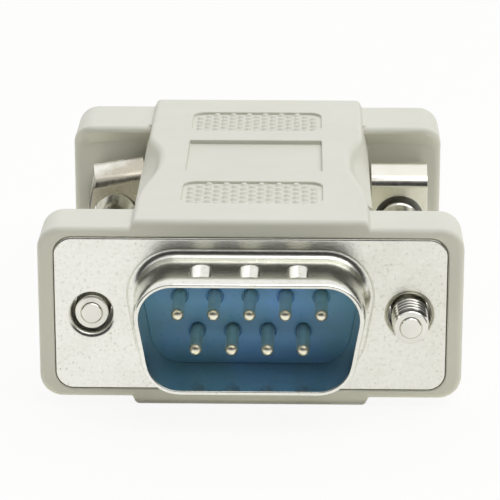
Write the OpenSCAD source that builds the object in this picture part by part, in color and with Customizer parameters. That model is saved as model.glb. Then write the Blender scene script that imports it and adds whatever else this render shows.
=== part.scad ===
// Nine-way D-sub adapter: pins at the front, sockets at the rear, in one moulded hood
// with two floating jackscrews held in open side pockets by folded sheet clips.
// Working axes: X to the right, Y from the pins to the sockets, Z up. Y = 0 is the
// front face of the front plate and Z = 0 is the level of the screw axes.

/* [Moulded hood] */
// Length of the hood, from front face to rear face
hood_length = 36.8; // [34:0.2:44]
// Width of the hood's border at each side of the plate
side_border = 1.295; // [0.9:0.005:2]
// Height of the hood's border above and below the plate
top_border = 0.775; // [0.6:0.005:1.5]
// Distance that each side of the rear flange stands in from the front flange
rear_step = 0.4; // [0:0.05:0.6]
// Thickness of the front flange
front_flange_t = 5.4; // [4.5:0.1:7]
// Thickness of the rear flange at the level of the screws
rear_flange_t = 6.6; // [5.6:0.1:7.4]
// Distance that the rear flange's top and bottom lips overhang the pockets
lip_reach = 0.9; // [0.4:0.1:1.4]
// Corner radius of the flanges, seen from the front
flange_corner_r = 1.8; // [0.8:0.1:3]
// Height of the raised middle over each flange
raised_step = 0.65; // [0.3:0.05:1.5]
// Distance that each side wall of the raised middle leans out on its way to the core
wall_lean = 0.5; // [0.2:0.05:1]
// Depth of the finger scallop in each top and bottom edge of the waist
scallop_depth = 1.1; // [0.4:0.1:1.6]
// Length of the finger scallop
scallop_length = 15; // [8:0.5:18]
// Distance of the scallop's middle in front of the hood's middle
scallop_shift = 1.6; // [0:0.1:3]
// Size of the broken outer edges
edge = 0.55; // [0.2:0.05:0.9]

/* [Grip and label] */
// Width of the grip patches and of the label recess
panel_w = 11.3; // [8:0.1:14]
// Length of the plain label recess
label_length = 9.2; // [5:0.1:10]
// Depth of the label recess
label_depth = 0.35; // [0.1:0.05:0.6]
// Length of one grip patch
grip_length = 6; // [3:0.1:6.2]
// Distance from the end of the hood to its grip patch
grip_inset = 4.7; // [2:0.1:5]
// Depth of the grip patch
grip_depth = 0.3; // [0.1:0.05:0.5]
// Distance between two columns of grip studs
grip_pitch = 0.71; // [0.6:0.01:1.2]
// Distance between two studs of one column
grip_row_pitch = 1.15; // [0.9:0.05:1.8]

/* [Connector shells] */
// Distance from a screw axis to the near end of the plate
plate_ear = 2.91; // [2.6:0.01:3.2]
// Height of the flange plate
plate_h = 12.55; // [12:0.01:13]
// Corner radius of the flange plate
plate_corner_r = 1.4; // [0.5:0.1:2.5]
// Thickness of the shell sheet
sheet = 0.5; // [0.3:0.05:0.6]
// Distance between the two screw axes
screw_spacing = 24.99; // [24.6:0.01:25.4]
// Diameter of the screw holes in the plates
plate_hole_d = 3.6; // [3.2:0.05:3.8]
// Distance from a screw axis to the inside of the plug shell
shell_ear = 4.035; // [3.9:0.005:4.1]
// Inside height of the plug shell
plug_inner_h = 8.36; // [8.3:0.01:8.5]
// Distance that the plug shell stands out of its plate
plug_reach = 5.94; // [5:0.02:6.4]
// Play between mated shells at each side
mating_gap_w = 0.295; // [0.2:0.005:0.4]
// Play between mated shells above and below
mating_gap_h = 0.23; // [0.15:0.005:0.3]
// Distance that the socket shell stands out of its plate
socket_reach = 5.9; // [5:0.02:6.4]
// Lean of the short sides of the shells, in degrees
shell_lean = 10; // [8:0.5:12]
// Inside corner radius of the plug shell
shell_r = 2.6; // [2:0.1:3]
// Radius of the bend between shell and plate
root_r = 1; // [0.6:0.1:1.2]
// Distance between two grounding dimples
dimple_pitch = 3.75; // [3:0.05:5]
// Width of a grounding dimple
dimple_w = 1.7; // [1:0.1:2]

/* [Contacts] */
// Distance between two contacts of a row
contact_pitch = 2.77; // [2.7:0.01:2.85]
// Distance between the two rows
row_pitch = 2.84; // [2.8:0.01:2.9]
// Diameter of a pin
pin_d = 1; // [0.9:0.02:1.04]
// Distance that the pins stand out of the plate
pin_reach = 4.52; // [4:0.02:5.2]
// Outside diameter of a socket contact
socket_d = 1.6; // [1.5:0.05:1.7]
// Outside diameter of a solder cup
cup_d = 1.8; // [1.6:0.05:1.9]
// Length of a solder cup
cup_length = 3.5; // [2.5:0.1:5]
// Thickness of a solder cup's floor
cup_floor = 0.8; // [0.4:0.1:1.2]
// Depth of a socket contact behind the socket's mouth
contact_inset = 1; // [0.6:0.05:1.5]
// Diameter of a link wire
wire_d = 0.8; // [0.5:0.05:0.9]

/* [Jackscrews] */
// Outer diameter of the screw thread
thread_d = 2.84; // [2.5:0.02:3]
// Length of the threaded end
thread_length = 8; // [5:0.2:10]
// Diameter of the flat at the screw's tip
tip_d = 1.7; // [1:0.1:2.2]
// Distance that the screw stands out of the front plate when it is pushed forward
screw_reach = 3; // [2:0.1:4]
// Travel of the floating screw
screw_travel = 3; // [1:0.1:3.2]
// Diameter of the plain neck
neck_d = 2.4; // [2:0.1:2.6]
// Diameter of the bearing collar
collar_d = 3.7; // [3.4:0.05:3.8]
// Length of the bearing collar
collar_length = 2; // [1:0.1:2.4]
// Diameter of the shank in the rear flange
shank_d = 3.2; // [3:0.05:3.4]
// Width across flats of the hexagonal socket head
hex_af = 4.75; // [4.4:0.05:5]
// Length of the hexagonal head
hex_length = 4.5; // [3.5:0.1:6]
// Diameter of the threaded hole in the head
hex_bore_d = 2.2; // [2:0.05:2.4]
// Depth of the threaded hole in the head
hex_bore_depth = 4; // [3:0.1:6]

/* [Clips] */
// Width of a clip
clip_w = 4.9; // [4.8:0.05:5]
// Thickness of the clip sheet
clip_t = 0.45; // [0.3:0.05:0.5]
// Height of the clip's top face over the screw axis
clip_top = 3.75; // [3.5:0.05:4.3]
// Outer bend radius of the clip
clip_bend_r = 0.7; // [0.5:0.05:1]
// Diameter of the clip's holes
clip_hole_d = 4.3; // [4.2:0.05:4.4]
// Thickness of the snap ring on the screw
ring_t = 0.5; // [0.4:0.05:0.8]
// Roll of the loose left clip about its screw, in degrees
left_clip_roll = 8; // [0:0.5:9]
// Yaw of the loose left clip, in degrees
left_clip_yaw = 5; // [0:0.5:5]

/* [Clearances] */
// Play of a sheet part in its seat
seat_gap = 0.05; // [0.02:0.01:0.1]
// Radial play of a contact in its cavity
contact_gap = 0.03; // [0.02:0.01:0.06]
// Radial play of the screw in its running holes
running_gap = 0.05; // [0.02:0.01:0.1]
// Radial play of the thread in the front tunnel
tunnel_gap = 0.45; // [0.2:0.05:0.6]
// Play of the snap ring before each leg of the clip
ring_gap = 0.25; // [0.25:0.05:0.4]
// Play between the clip and the rear flange
clip_gap = 0.27; // [0.25:0.01:0.5]
// Play between the right clip and the core
clip_side_gap = 0.295; // [0.25:0.005:0.5]

/* [Hidden] */
$fn = 48;
CONTACTS = [1, 2, 3, 4, 5, 6, 7, 8, 9];

// Sizes worked out from the sizes above
plate_w = screw_spacing + 2 * plate_ear;
plug_inner_w = screw_spacing - 2 * shell_ear;
socket_outer_w = plug_inner_w - 2 * mating_gap_w;
socket_outer_h = plug_inner_h - 2 * mating_gap_h;
front_flange_w = plate_w + 2 * side_border;
rear_flange_w = front_flange_w - 2 * rear_step;
flange_h = plate_h + 2 * top_border;
raised_h = flange_h + 2 * raised_step;
core_w = screw_spacing - clip_w - 2 * clip_side_gap;
raised_w = core_w - 2 * wall_lean;

// Places worked out from the sizes above
flange_half = flange_h / 2;
raised_half = raised_h / 2;
screw_x = screw_spacing / 2;
lip_h = 1.6;
pocket_half = flange_half - lip_h;
wall_y = hood_length - rear_flange_t;
lip_y = wall_y - lip_reach;
clip_depth = ring_t + screw_travel + 2 * ring_gap + 2 * clip_t;
clip_front = wall_y - clip_gap - clip_depth;
ring_forward_y = clip_front + clip_t + ring_gap;
ring_d = clip_hole_d + 0.6;
groove_d = neck_d;
shank_y = ring_t + seat_gap;
head_y = hood_length + seat_gap - ring_forward_y;
tip_y = -screw_reach - ring_forward_y;
plate_stack = 2 * sheet;
plug_depth = 6.4;
socket_depth = 6.4;
insulator_face = 0.3;
socket_face_inset = 0.25;
rim_wall = 0.65;
rim_w = core_w - 2 * rim_wall;
rim_h = plug_inner_h + 1.24;
rim_t = 2;
body_w = rim_w - 2.6;
body_h = rim_h - 2.3;
mould_w = rim_w - 0.6;
mould_h = rim_h - 0.4;
mould_corner = 1;
cup_corner = 1.5;
wire_play = 0.17;
contact_play = 0.04;
pin_recess_w = 0.4;
pin_recess_t = 0.25;
mouth_w = 0.3;
funnel_w = 0.6;
funnel_t = 0.55;
head_chamfer = 0.25;
dimple_y = -plug_reach * 0.52;
dimple_depth = 0.3;
front_end = -plug_reach;
rear_end = max(hood_length + socket_reach, ring_forward_y + screw_travel + head_y + hex_length);
mid_y = (front_end + rear_end) / 2;

// Places of the nine contacts: five above, four below
function contact_x(i) = i <= 5 ? (i - 3) * contact_pitch : (i - 7.5) * contact_pitch;
function contact_z(i) = i <= 5 ? row_pitch / 2 : -row_pitch / 2;

// Puts a part in the library's frame: the base at Z = 0, the middle of the length at Y = 0
module in_frame() {
    translate([0, -mid_y, raised_half]) children();
}

// A flat outline in X and Z, drawn out along Y from y0 to y1
module along_y(y0, y1) {
    translate([0, y1, 0]) rotate([90, 0, 0]) linear_extrude(y1 - y0) children();
}

// A round bar or hole along Y, centred on the Y axis
module bar(d, y0, y1) {
    translate([0, y1, 0]) rotate([90, 0, 0]) cylinder(d = d, h = y1 - y0);
}

// A cone along Y, from diameter d0 at y0 to diameter d1 at y1
module taper(d0, d1, y0, y1) {
    translate([0, y1, 0]) rotate([90, 0, 0]) cylinder(d1 = d1, d2 = d0, h = y1 - y0);
}

module rounded_rect(w, h, r) {
    square([w - 2 * r, h], center = true);
    square([w, h - 2 * r], center = true);
    for (x = [-1, 1], z = [-1, 1]) {
        translate([x * (w / 2 - r), z * (h / 2 - r)]) circle(r);
    }
}

// The D outline: wide side up, short sides leaning inwards, four round corners.
// The straight sides lie a hair inside the corners' tangents, so that they meet at clean points.
module d_outline(w, h, r) {
    hair = 0.004;
    lean_x = (r - hair) * cos(shell_lean);
    lean_z = (r - hair) * sin(shell_lean);
    high_x = w / 2 - r;
    low_x = high_x - (h - 2 * r) * tan(shell_lean);
    high_z = h / 2 - r;
    right = [
        [high_x, h / 2 - hair],
        [high_x + lean_x, high_z - lean_z],
        [low_x + lean_x, -high_z - lean_z],
        [low_x, hair - h / 2]
    ];
    left = [for (i = [3:-1:0]) [-right[i][0], right[i][1]]];
    polygon(concat(right, left));
    for (side = [-1, 1]) {
        translate([side * high_x, high_z]) circle(r);
        translate([side * low_x, -high_z]) circle(r);
    }
}

// ---- Moulded hood ----

// A flange block with its outer edges broken all round
module flange_block(w, y0, y1) {
    hull() {
        along_y(y0 + edge, y1 - edge) rounded_rect(w, flange_h, flange_corner_r);
        along_y(y0, y1) rounded_rect(w - 2 * edge, flange_h - 2 * edge, flange_corner_r - edge / 2);
    }
}

// One level of the raised middle, seen from above
module raised_level(w, length, z0, z1) {
    translate([0, hood_length / 2, z0]) linear_extrude(z1 - z0) rounded_rect(w, length, 1);
}

// The raised middle and the core below it, full length: the side walls lean out to the core
module raised_block() {
    brow = raised_half - edge;
    hull() {
        raised_level(raised_w - 2 * edge, hood_length - 2 * edge, -raised_half, raised_half);
        raised_level(raised_w, hood_length, -brow, brow);
        raised_level(core_w, hood_length, -pocket_half, pocket_half);
    }
}

// The rear flange, undercut below its top and bottom lips to take the clips
module rear_flange() {
    lip_edge = flange_half - edge;
    outline = [
        [lip_y - 1, -lip_edge],
        [lip_y, -lip_edge],
        [wall_y, -pocket_half],
        [wall_y, pocket_half],
        [lip_y, lip_edge],
        [lip_y - 1, lip_edge]
    ];
    difference() {
        flange_block(rear_flange_w, lip_y, hood_length);
        translate([-rear_flange_w, 0, 0]) rotate([90, 0, 90]) linear_extrude(2 * rear_flange_w) {
            polygon(outline);
        }
    }
}

// One finger scallop, cut by a cone that bites deepest at the top face
module scallop(side, up) {
    cut_r = (pow(scallop_length / 2, 2) + pow(scallop_depth, 2)) / (2 * scallop_depth);
    cut_h = raised_half - pocket_half + 0.4;
    low_r = cut_r - (core_w - raised_w) / 2 - scallop_depth;
    axis_x = raised_w / 2 - scallop_depth + cut_r;
    grow = (cut_r - low_r) / cut_h;
    translate([side * axis_x, hood_length / 2 - scallop_shift, 0]) mirror([0, 0, up]) {
        translate([0, 0, raised_half - cut_h]) {
            cylinder(r1 = low_r, r2 = cut_r + grow, h = cut_h + 1, $fn = 96);
        }
    }
}

// The raised middle with a scallop at each of its four long edges
module waist() {
    difference() {
        raised_block();
        for (side = [-1, 1], up = [0, 1]) scallop(side, up);
    }
}

// Grip studs: columns of small diamonds, each column half a step from the next
module grip_studs() {
    columns = floor((panel_w / 2 - 0.5) / grip_pitch);
    rows = floor((grip_length / 2 - 0.5) / grip_row_pitch);
    for (c = [-columns:columns]) {
        shift = abs(c) % 2 == 0 ? 0 : grip_row_pitch / 2;
        for (r = [-rows:rows]) {
            y = r * grip_row_pitch + shift - grip_row_pitch / 4;
            translate([c * grip_pitch, y]) scale([0.8, 1.3]) circle(d = grip_pitch, $fn = 4);
        }
    }
}

// What is sunk into the top face; the bottom face has the same
module top_cuts() {
    translate([-panel_w / 2, hood_length / 2 - label_length / 2, raised_half - label_depth]) {
        cube([panel_w, label_length, 1]);
    }
    for (y = [grip_inset + grip_length / 2, hood_length - grip_inset - grip_length / 2]) {
        translate([0, y, raised_half - grip_depth]) linear_extrude(1) difference() {
            rounded_rect(panel_w, grip_length, 1.3);
            grip_studs();
        }
    }
}

module hood() color([0.84, 0.835, 0.785]) in_frame() difference() {
    union() {
        flange_block(front_flange_w, 0, front_flange_t);
        rear_flange();
        waist();
    }
    top_cuts();
    mirror([0, 0, 1]) top_cuts();
    hood_seats();
    for (side = [-1, 1]) translate([side * screw_x, 0, 0]) {
        bar(thread_d + 2 * tunnel_gap, -1, front_flange_t + 1);
        bar(shank_d + 2 * running_gap, wall_y - 1, hood_length + 1);
    }
}

// The space in the hood for the two connectors and the inner moulding
module hood_seats() {
    seat = 2 * seat_gap;
    depth = plate_stack + rim_t + seat_gap;
    along_y(-1, plate_stack + seat_gap) rounded_rect(plate_w + seat, plate_h + seat, plate_corner_r);
    along_y(hood_length - plate_stack - seat_gap, hood_length + 1) {
        rounded_rect(plate_w + seat, plate_h + seat, plate_corner_r);
    }
    along_y(0, depth + sheet) square([rim_w + 2 * sheet + seat, rim_h + 2 * sheet + seat], center = true);
    along_y(hood_length - depth - sheet, hood_length) {
        square([rim_w + 2 * sheet + seat, rim_h + 2 * sheet + seat], center = true);
    }
    along_y(depth, hood_length - depth) square([mould_w + seat, mould_h + seat], center = true);
}

// The inner moulding round the solder cups and the wires between the connectors
module inner_mould() color([0.9, 0.9, 0.86]) in_frame() difference() {
    along_y(plug_depth + seat_gap, hood_length - socket_depth - seat_gap) {
        rounded_rect(mould_w, mould_h, mould_corner);
    }
    for (i = CONTACTS) translate([contact_x(i), 0, contact_z(i)]) {
        bar(wire_d + 2 * contact_gap, 0, hood_length);
        bar(cup_d + 2 * contact_gap, 0, plug_depth + cup_length + contact_gap);
        bar(cup_d + 2 * contact_gap, hood_length - socket_depth - cup_length - contact_gap, hood_length);
    }
}

// ---- Connector shells ----

module flange_plate(y0) {
    along_y(y0, y0 + sheet) rounded_rect(plate_w, plate_h, plate_corner_r);
}

module screw_holes(y0) {
    for (side = [-1, 1]) translate([side * screw_x, 0, 0]) bar(plate_hole_d, y0 - 1, y0 + sheet + 1);
}

// The bend from the drawn shell to its plate, as two skirts: a steep one and a shallow one
module root_bend(w, h, r) {
    skirts = [
        [-1.15, -0.08, 0.42],
        [-0.42, -0.05, 1.15]
    ];
    slice = 0.01;
    foot = 0.05;
    for (s = skirts) hull() {
        along_y(s[0] * root_r, s[0] * root_r + slice) {
            d_outline(w + 2 * s[1] * root_r, h + 2 * s[1] * root_r, r + s[1] * root_r);
        }
        along_y(foot, foot + slice) {
            d_outline(w + 2 * s[2] * root_r, h + 2 * s[2] * root_r, r + s[2] * root_r);
        }
    }
}

// One drawn shell with its plate; it stands out towards -Y from a plate whose face is at Y = 0
module drawn_shell(inner_w, inner_h, inner_r, reach) {
    outer_w = inner_w + 2 * sheet;
    outer_h = inner_h + 2 * sheet;
    difference() {
        union() {
            flange_plate(0);
            along_y(-reach, 0.1) d_outline(outer_w, outer_h, inner_r + sheet);
            root_bend(outer_w, outer_h, inner_r + sheet);
        }
        along_y(-reach - 1, sheet + 1) d_outline(inner_w, inner_h, inner_r);
        screw_holes(0);
    }
}

// Three dimples pressed into the top of the plug shell, which ground the mating shell
module dimples(r) {
    ball_z = plug_inner_h / 2 + sheet - dimple_depth + dimple_ball();
    for (i = [-1:1]) translate([i * dimple_pitch, dimple_y, ball_z]) rotate([0, -90, 0]) sphere(r);
}

function dimple_ball() = (pow(dimple_w / 2, 2) + pow(dimple_depth, 2)) / (2 * dimple_depth);

module front_shell() color([0.86, 0.86, 0.84]) in_frame() difference() {
    union() {
        drawn_shell(plug_inner_w, plug_inner_h, shell_r, plug_reach);
        intersection() {
            dimples(dimple_ball() + sheet - 0.1);
            translate([-plug_inner_w / 2, -plug_reach + 0.1, 0]) {
                cube([plug_inner_w, plug_reach - 0.2, (plug_inner_h + sheet) / 2]);
            }
        }
    }
    dimples(dimple_ball());
}

module rear_shell() color([0.86, 0.86, 0.84]) in_frame() translate([0, hood_length, 0]) mirror([0, 1, 0]) {
    drawn_shell(socket_outer_w - 2 * sheet, socket_outer_h - 2 * sheet, shell_r - 0.4, socket_reach);
}

// The second plate of a connector: it lies behind the first and cups the insulator's rim
module back_shell() {
    difference() {
        union() {
            flange_plate(sheet);
            along_y(sheet, plate_stack + rim_t) {
                rounded_rect(rim_w + 2 * sheet, rim_h + 2 * sheet, cup_corner);
            }
        }
        along_y(0, plate_stack + rim_t - sheet) {
            rounded_rect(rim_w + 2 * seat_gap, rim_h + 2 * seat_gap, mould_corner);
        }
        along_y(0, plate_stack + rim_t + 1) {
            rounded_rect(body_w + 2 * seat_gap, body_h + 2 * seat_gap, mould_corner);
        }
        for (side = [-1, 1]) translate([side * screw_x, 0, 0]) bar(plate_hole_d, 0, plate_stack + 1);
    }
}

module front_back_shell() color([0.8, 0.8, 0.78]) in_frame() back_shell();

module rear_back_shell() color([0.8, 0.8, 0.78]) in_frame() {
    translate([0, hood_length, 0]) mirror([0, 1, 0]) back_shell();
}

// ---- Insulators ----

// The clamped rim and the rear body that both insulators share
module insulator_body(depth) {
    along_y(sheet + seat_gap, sheet + rim_t - seat_gap) rounded_rect(rim_w, rim_h, mould_corner);
    along_y(sheet + seat_gap, depth) rounded_rect(body_w, body_h, mould_corner);
}

module front_insulator() color([0.17, 0.34, 0.5]) in_frame() difference() {
    union() {
        along_y(insulator_face, 1) {
            d_outline(plug_inner_w - 2 * seat_gap, plug_inner_h - 2 * seat_gap, shell_r - seat_gap);
        }
        insulator_body(plug_depth);
    }
    for (i = CONTACTS) translate([contact_x(i), 0, contact_z(i)]) {
        bar(pin_d + 2 * contact_gap, -1, plug_depth + 1);
        bar(pin_d + pin_recess_w, -1, insulator_face + pin_recess_t);
    }
}

module rear_insulator() color([0.17, 0.34, 0.5]) in_frame() {
    gap = sheet + seat_gap;
    mouth_d = pin_d + mouth_w;
    translate([0, hood_length, 0]) mirror([0, 1, 0]) difference() {
        union() {
            along_y(-socket_reach + socket_face_inset, 1) {
                d_outline(socket_outer_w - 2 * gap, socket_outer_h - 2 * gap, shell_r - 0.4 - seat_gap);
            }
            insulator_body(socket_depth);
        }
        for (i = CONTACTS) translate([contact_x(i), 0, contact_z(i)]) {
            bar(socket_d + 2 * contact_gap, contact_inset - socket_reach, socket_depth + 1);
            bar(mouth_d, -socket_reach - 1, 0);
            taper(mouth_d + funnel_w, mouth_d, -socket_reach, funnel_t - socket_reach);
        }
    }
}

// ---- Contacts ----

module solder_cup(y0) {
    difference() {
        bar(cup_d, y0, y0 + cup_length);
        bar(wire_d + 2 * contact_gap, y0 + cup_floor, y0 + cup_length + 1);
    }
}

module male_pin(i) color([0.83, 0.7, 0.4]) in_frame() translate([contact_x(i), 0, contact_z(i)]) {
    bar(pin_d, pin_d / 2 - pin_reach, plug_depth + cup_floor / 2);
    translate([0, pin_d / 2 - pin_reach, 0]) sphere(d = pin_d);
    solder_cup(plug_depth + contact_gap);
}

module socket_contact(i) color([0.83, 0.7, 0.4]) in_frame() {
    translate([contact_x(i), hood_length, contact_z(i)]) mirror([0, 1, 0]) {
        difference() {
            bar(socket_d, contact_inset + contact_gap - socket_reach, socket_depth + cup_floor / 2);
            bar(pin_d + contact_play, -socket_reach, 1);
        }
        solder_cup(socket_depth + contact_gap);
    }
}

// A wire from near the floor of one solder cup to near the floor of the other
module link_wire(i) color([0.75, 0.45, 0.3]) in_frame() translate([contact_x(i), 0, contact_z(i)]) {
    inset = contact_gap + cup_floor + wire_play;
    bar(wire_d, plug_depth + inset, hood_length - socket_depth - inset);
}

// ---- Jackscrews, snap rings and clips ----

// The screw's outline is measured from the front face of its snap ring
module jackscrew() {
    thread_end = tip_y + thread_length;
    chamfer = (thread_d - tip_d) / 2;
    taper(tip_d, thread_d, tip_y, tip_y + chamfer);
    bar(thread_d, tip_y + chamfer, thread_end);
    bar(neck_d, thread_end, -collar_length);
    bar(collar_d, -collar_length, -seat_gap);
    bar(groove_d, -seat_gap, shank_y);
    bar(shank_d, shank_y, head_y);
    head_end = head_y + hex_length;
    corner_d = hex_af / cos(30);
    turned_d = corner_d + 0.1;
    difference() {
        intersection() {
            bar(corner_d, head_y, head_end, $fn = 6);
            union() {
                taper(hex_af, turned_d, head_y, head_y + head_chamfer);
                bar(turned_d, head_y + head_chamfer, head_end - head_chamfer);
                taper(turned_d, hex_af, head_end - head_chamfer, head_end);
            }
        }
        bar(hex_bore_d, head_end - hex_bore_depth, head_end + 1);
    }
}

module snap_ring() {
    difference() {
        bar(ring_d, 0, ring_t);
        bar(groove_d + 2 * running_gap, -1, ring_t + 1);
    }
}

// The folded strip seen from its edge: front leg, flat top and rear leg
module clip_profile() {
    r = clip_bend_r;
    difference() {
        union() {
            translate([0, -clip_w]) square([clip_depth, clip_w + clip_top - r]);
            translate([r, 0]) square([clip_depth - 2 * r, clip_top]);
            translate([r, clip_top - r]) circle(r);
            translate([clip_depth - r, clip_top - r]) circle(r);
        }
        translate([clip_t, -clip_w - 1]) square([clip_depth - 2 * clip_t, clip_w + 1 + clip_top - clip_t]);
    }
}

// A folded sheet clip: two legs with round ends and round holes, joined by a flat top
module clip() {
    difference() {
        intersection() {
            translate([-clip_w / 2, 0, 0]) rotate([90, 0, 90]) linear_extrude(clip_w) clip_profile();
            along_y(-1, clip_depth + 1) {
                translate([-clip_w / 2, 0]) square([clip_w, clip_top + 1]);
                circle(d = clip_w);
            }
        }
        bar(clip_hole_d, -1, clip_depth + 1);
    }
}

module clip_left() color([0.9, 0.89, 0.84]) in_frame() {
    translate([-screw_x, clip_front + clip_depth / 2, 0]) {
        rotate([0, -left_clip_roll, left_clip_yaw]) translate([0, -clip_depth / 2, 0]) clip();
    }
}

module clip_right() color([0.9, 0.89, 0.84]) in_frame() translate([screw_x, clip_front, 0]) clip();

module snap_ring_left() color([0.55, 0.55, 0.55]) in_frame() {
    translate([-screw_x, ring_forward_y + screw_travel, 0]) snap_ring();
}

module snap_ring_right() color([0.55, 0.55, 0.55]) in_frame() {
    translate([screw_x, ring_forward_y, 0]) snap_ring();
}

module jackscrew_left() color([0.8, 0.79, 0.76]) in_frame() {
    translate([-screw_x, ring_forward_y + screw_travel, 0]) jackscrew();
}

module jackscrew_right() color([0.8, 0.79, 0.76]) in_frame() {
    translate([screw_x, ring_forward_y, 0]) jackscrew();
}

hood();
inner_mould();
front_shell();
front_back_shell();
front_insulator();
rear_shell();
rear_back_shell();
rear_insulator();
for (i = CONTACTS) {
    male_pin(i);
    socket_contact(i);
    link_wire(i);
}
clip_left();
clip_right();
snap_ring_left();
snap_ring_right();
jackscrew_left();
jackscrew_right();
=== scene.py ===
"""Dresses the nine-way D-sub adapter: its moulded hood, sheet shells, threaded jackscrews and finishes."""
import math

import bmesh
import bpy
from mathutils import Matrix, Vector


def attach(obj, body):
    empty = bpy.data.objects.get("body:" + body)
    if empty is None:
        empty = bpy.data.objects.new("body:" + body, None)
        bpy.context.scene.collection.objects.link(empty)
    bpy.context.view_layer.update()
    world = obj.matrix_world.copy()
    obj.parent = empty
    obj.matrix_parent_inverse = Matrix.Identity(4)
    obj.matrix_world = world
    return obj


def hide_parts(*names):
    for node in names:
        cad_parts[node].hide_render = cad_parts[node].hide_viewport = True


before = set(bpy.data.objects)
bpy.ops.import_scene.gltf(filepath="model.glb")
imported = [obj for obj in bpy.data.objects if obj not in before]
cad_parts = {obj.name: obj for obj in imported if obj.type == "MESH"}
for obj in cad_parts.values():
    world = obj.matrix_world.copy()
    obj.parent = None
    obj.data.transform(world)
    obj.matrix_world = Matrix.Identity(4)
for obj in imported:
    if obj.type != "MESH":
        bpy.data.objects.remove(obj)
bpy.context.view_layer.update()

MM = 0.001
HOOD_LENGTH = 36.8
MID_Y = 19.205
SCREW_LEVEL = 7.7


# ---- Putting pieces in place ----


def to_row_frame(mesh):
    """Turns a mesh drawn in millimetres about the front plate into the row frame, in metres."""
    mesh.transform(Matrix.Translation((0, -MID_Y, SCREW_LEVEL)))
    mesh.transform(Matrix.Scale(MM, 4))


def make_object(name, form, smooth_angle=35):
    """A piece from a finished form, shaded smooth apart from edges sharper than the angle."""
    mesh = bpy.data.meshes.new(name)
    form.to_mesh(mesh)
    form.free()
    piece = bpy.data.objects.new(name, mesh)
    bpy.context.scene.collection.objects.link(piece)
    mesh.shade_smooth()
    mesh.set_sharp_from_angle(angle=math.radians(smooth_angle))
    return piece


def baked(piece):
    """Applies a piece's modifiers, so that what follows works on the finished mesh."""
    bpy.context.view_layer.update()
    graph = bpy.context.evaluated_depsgraph_get()
    done = bpy.data.meshes.new_from_object(piece.evaluated_get(graph))
    piece.modifiers.clear()
    piece.data = done
    return piece


def even_shading(piece):
    """Weighs the shading by face size, so that flat faces stay flat beside their rounded edges."""
    even = piece.modifiers.new("even_normals", "WEIGHTED_NORMAL")
    even.keep_sharp = True
    baked(piece)


def cut(piece, cutter, mode="DIFFERENCE"):
    """Cuts a piece with another, or joins or crosses them, and removes the cutter."""
    step = piece.modifiers.new("cut", "BOOLEAN")
    step.operation = mode
    step.solver = "EXACT"
    step.object = cutter
    baked(piece)
    bpy.data.objects.remove(cutter)


def dress(piece, body, material_slot, material, *nodes):
    """Gives a piece its finish and its body, and lets it stand for its solids."""
    piece.data.materials.clear()
    piece.data.materials.append(material)
    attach(piece, body)
    if nodes:
        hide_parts(*nodes)
    return piece


# ---- Finishes ----


def new_finish(name, colour, roughness, metallic=0.0):
    finish = bpy.data.materials.new(name)
    finish.use_nodes = True
    tree = finish.node_tree
    shader = tree.nodes["Principled BSDF"]
    shader.inputs["Base Color"].default_value = (*colour, 1)
    shader.inputs["Roughness"].default_value = roughness
    shader.inputs["Metallic"].default_value = metallic
    return finish, tree, shader


def object_coordinates(tree):
    return tree.nodes.new("ShaderNodeTexCoord").outputs["Object"]


def noise(tree, scale, detail=2.0, roughness=0.5):
    texture = tree.nodes.new("ShaderNodeTexNoise")
    texture.inputs["Scale"].default_value = scale
    texture.inputs["Detail"].default_value = detail
    texture.inputs["Roughness"].default_value = roughness
    tree.links.new(object_coordinates(tree), texture.inputs["Vector"])
    return texture.outputs["Fac"]


def mapped(tree, source, given, wanted=(0.0, 1.0)):
    """Maps a value from the given range to the wanted one, and holds it at both ends."""
    node = tree.nodes.new("ShaderNodeMapRange")
    node.inputs["From Min"].default_value, node.inputs["From Max"].default_value = given
    node.inputs["To Min"].default_value, node.inputs["To Max"].default_value = wanted
    tree.links.new(source, node.inputs["Value"])
    return node.outputs["Result"]


def spread(tree, source, low, high):
    """Maps a texture's middle range to the range from low to high."""
    return mapped(tree, source, (0.3, 0.7), (low, high))


def colour_ramp(tree, source, stops):
    node = tree.nodes.new("ShaderNodeValToRGB")
    ramp = node.color_ramp
    ramp.elements[0].position, ramp.elements[0].color = stops[0][0], (*stops[0][1], 1)
    ramp.elements[1].position, ramp.elements[1].color = stops[-1][0], (*stops[-1][1], 1)
    for place, colour in stops[1:-1]:
        ramp.elements.new(place).color = (*colour, 1)
    tree.links.new(source, node.inputs["Fac"])
    return node.outputs["Color"]


def multiplied(tree, first, second):
    """One colour darkened by another."""
    node = tree.nodes.new("ShaderNodeMix")
    node.data_type, node.blend_type = "RGBA", "MULTIPLY"
    node.inputs[0].default_value = 1.0
    tree.links.new(first, node.inputs[6])
    tree.links.new(second, node.inputs[7])
    return node.outputs[2]


def along(tree, direction):
    """How far a point lies along a direction, in metres, times the direction's length."""
    node = tree.nodes.new("ShaderNodeVectorMath")
    node.operation = "DOT_PRODUCT"
    node.inputs[1].default_value = direction
    tree.links.new(object_coordinates(tree), node.inputs[0])
    return node.outputs["Value"]


def wavering(tree, source, texture, amount):
    """Adds a texture to a value, so that the line where it changes isn't straight."""
    node = tree.nodes.new("ShaderNodeMath")
    node.operation = "MULTIPLY_ADD"
    node.inputs[1].default_value = amount
    tree.links.new(texture, node.inputs[0])
    tree.links.new(source, node.inputs[2])
    return node.outputs[0]


def add_bump(tree, shader, source, strength, distance):
    """Adds a bump, on top of any that the shader already has."""
    node = tree.nodes.new("ShaderNodeBump")
    node.inputs["Strength"].default_value = strength
    node.inputs["Distance"].default_value = distance
    tree.links.new(source, node.inputs["Height"])
    if shader.inputs["Normal"].is_linked:
        tree.links.new(shader.inputs["Normal"].links[0].from_socket, node.inputs["Normal"])
    tree.links.new(node.outputs["Normal"], shader.inputs["Normal"])


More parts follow.
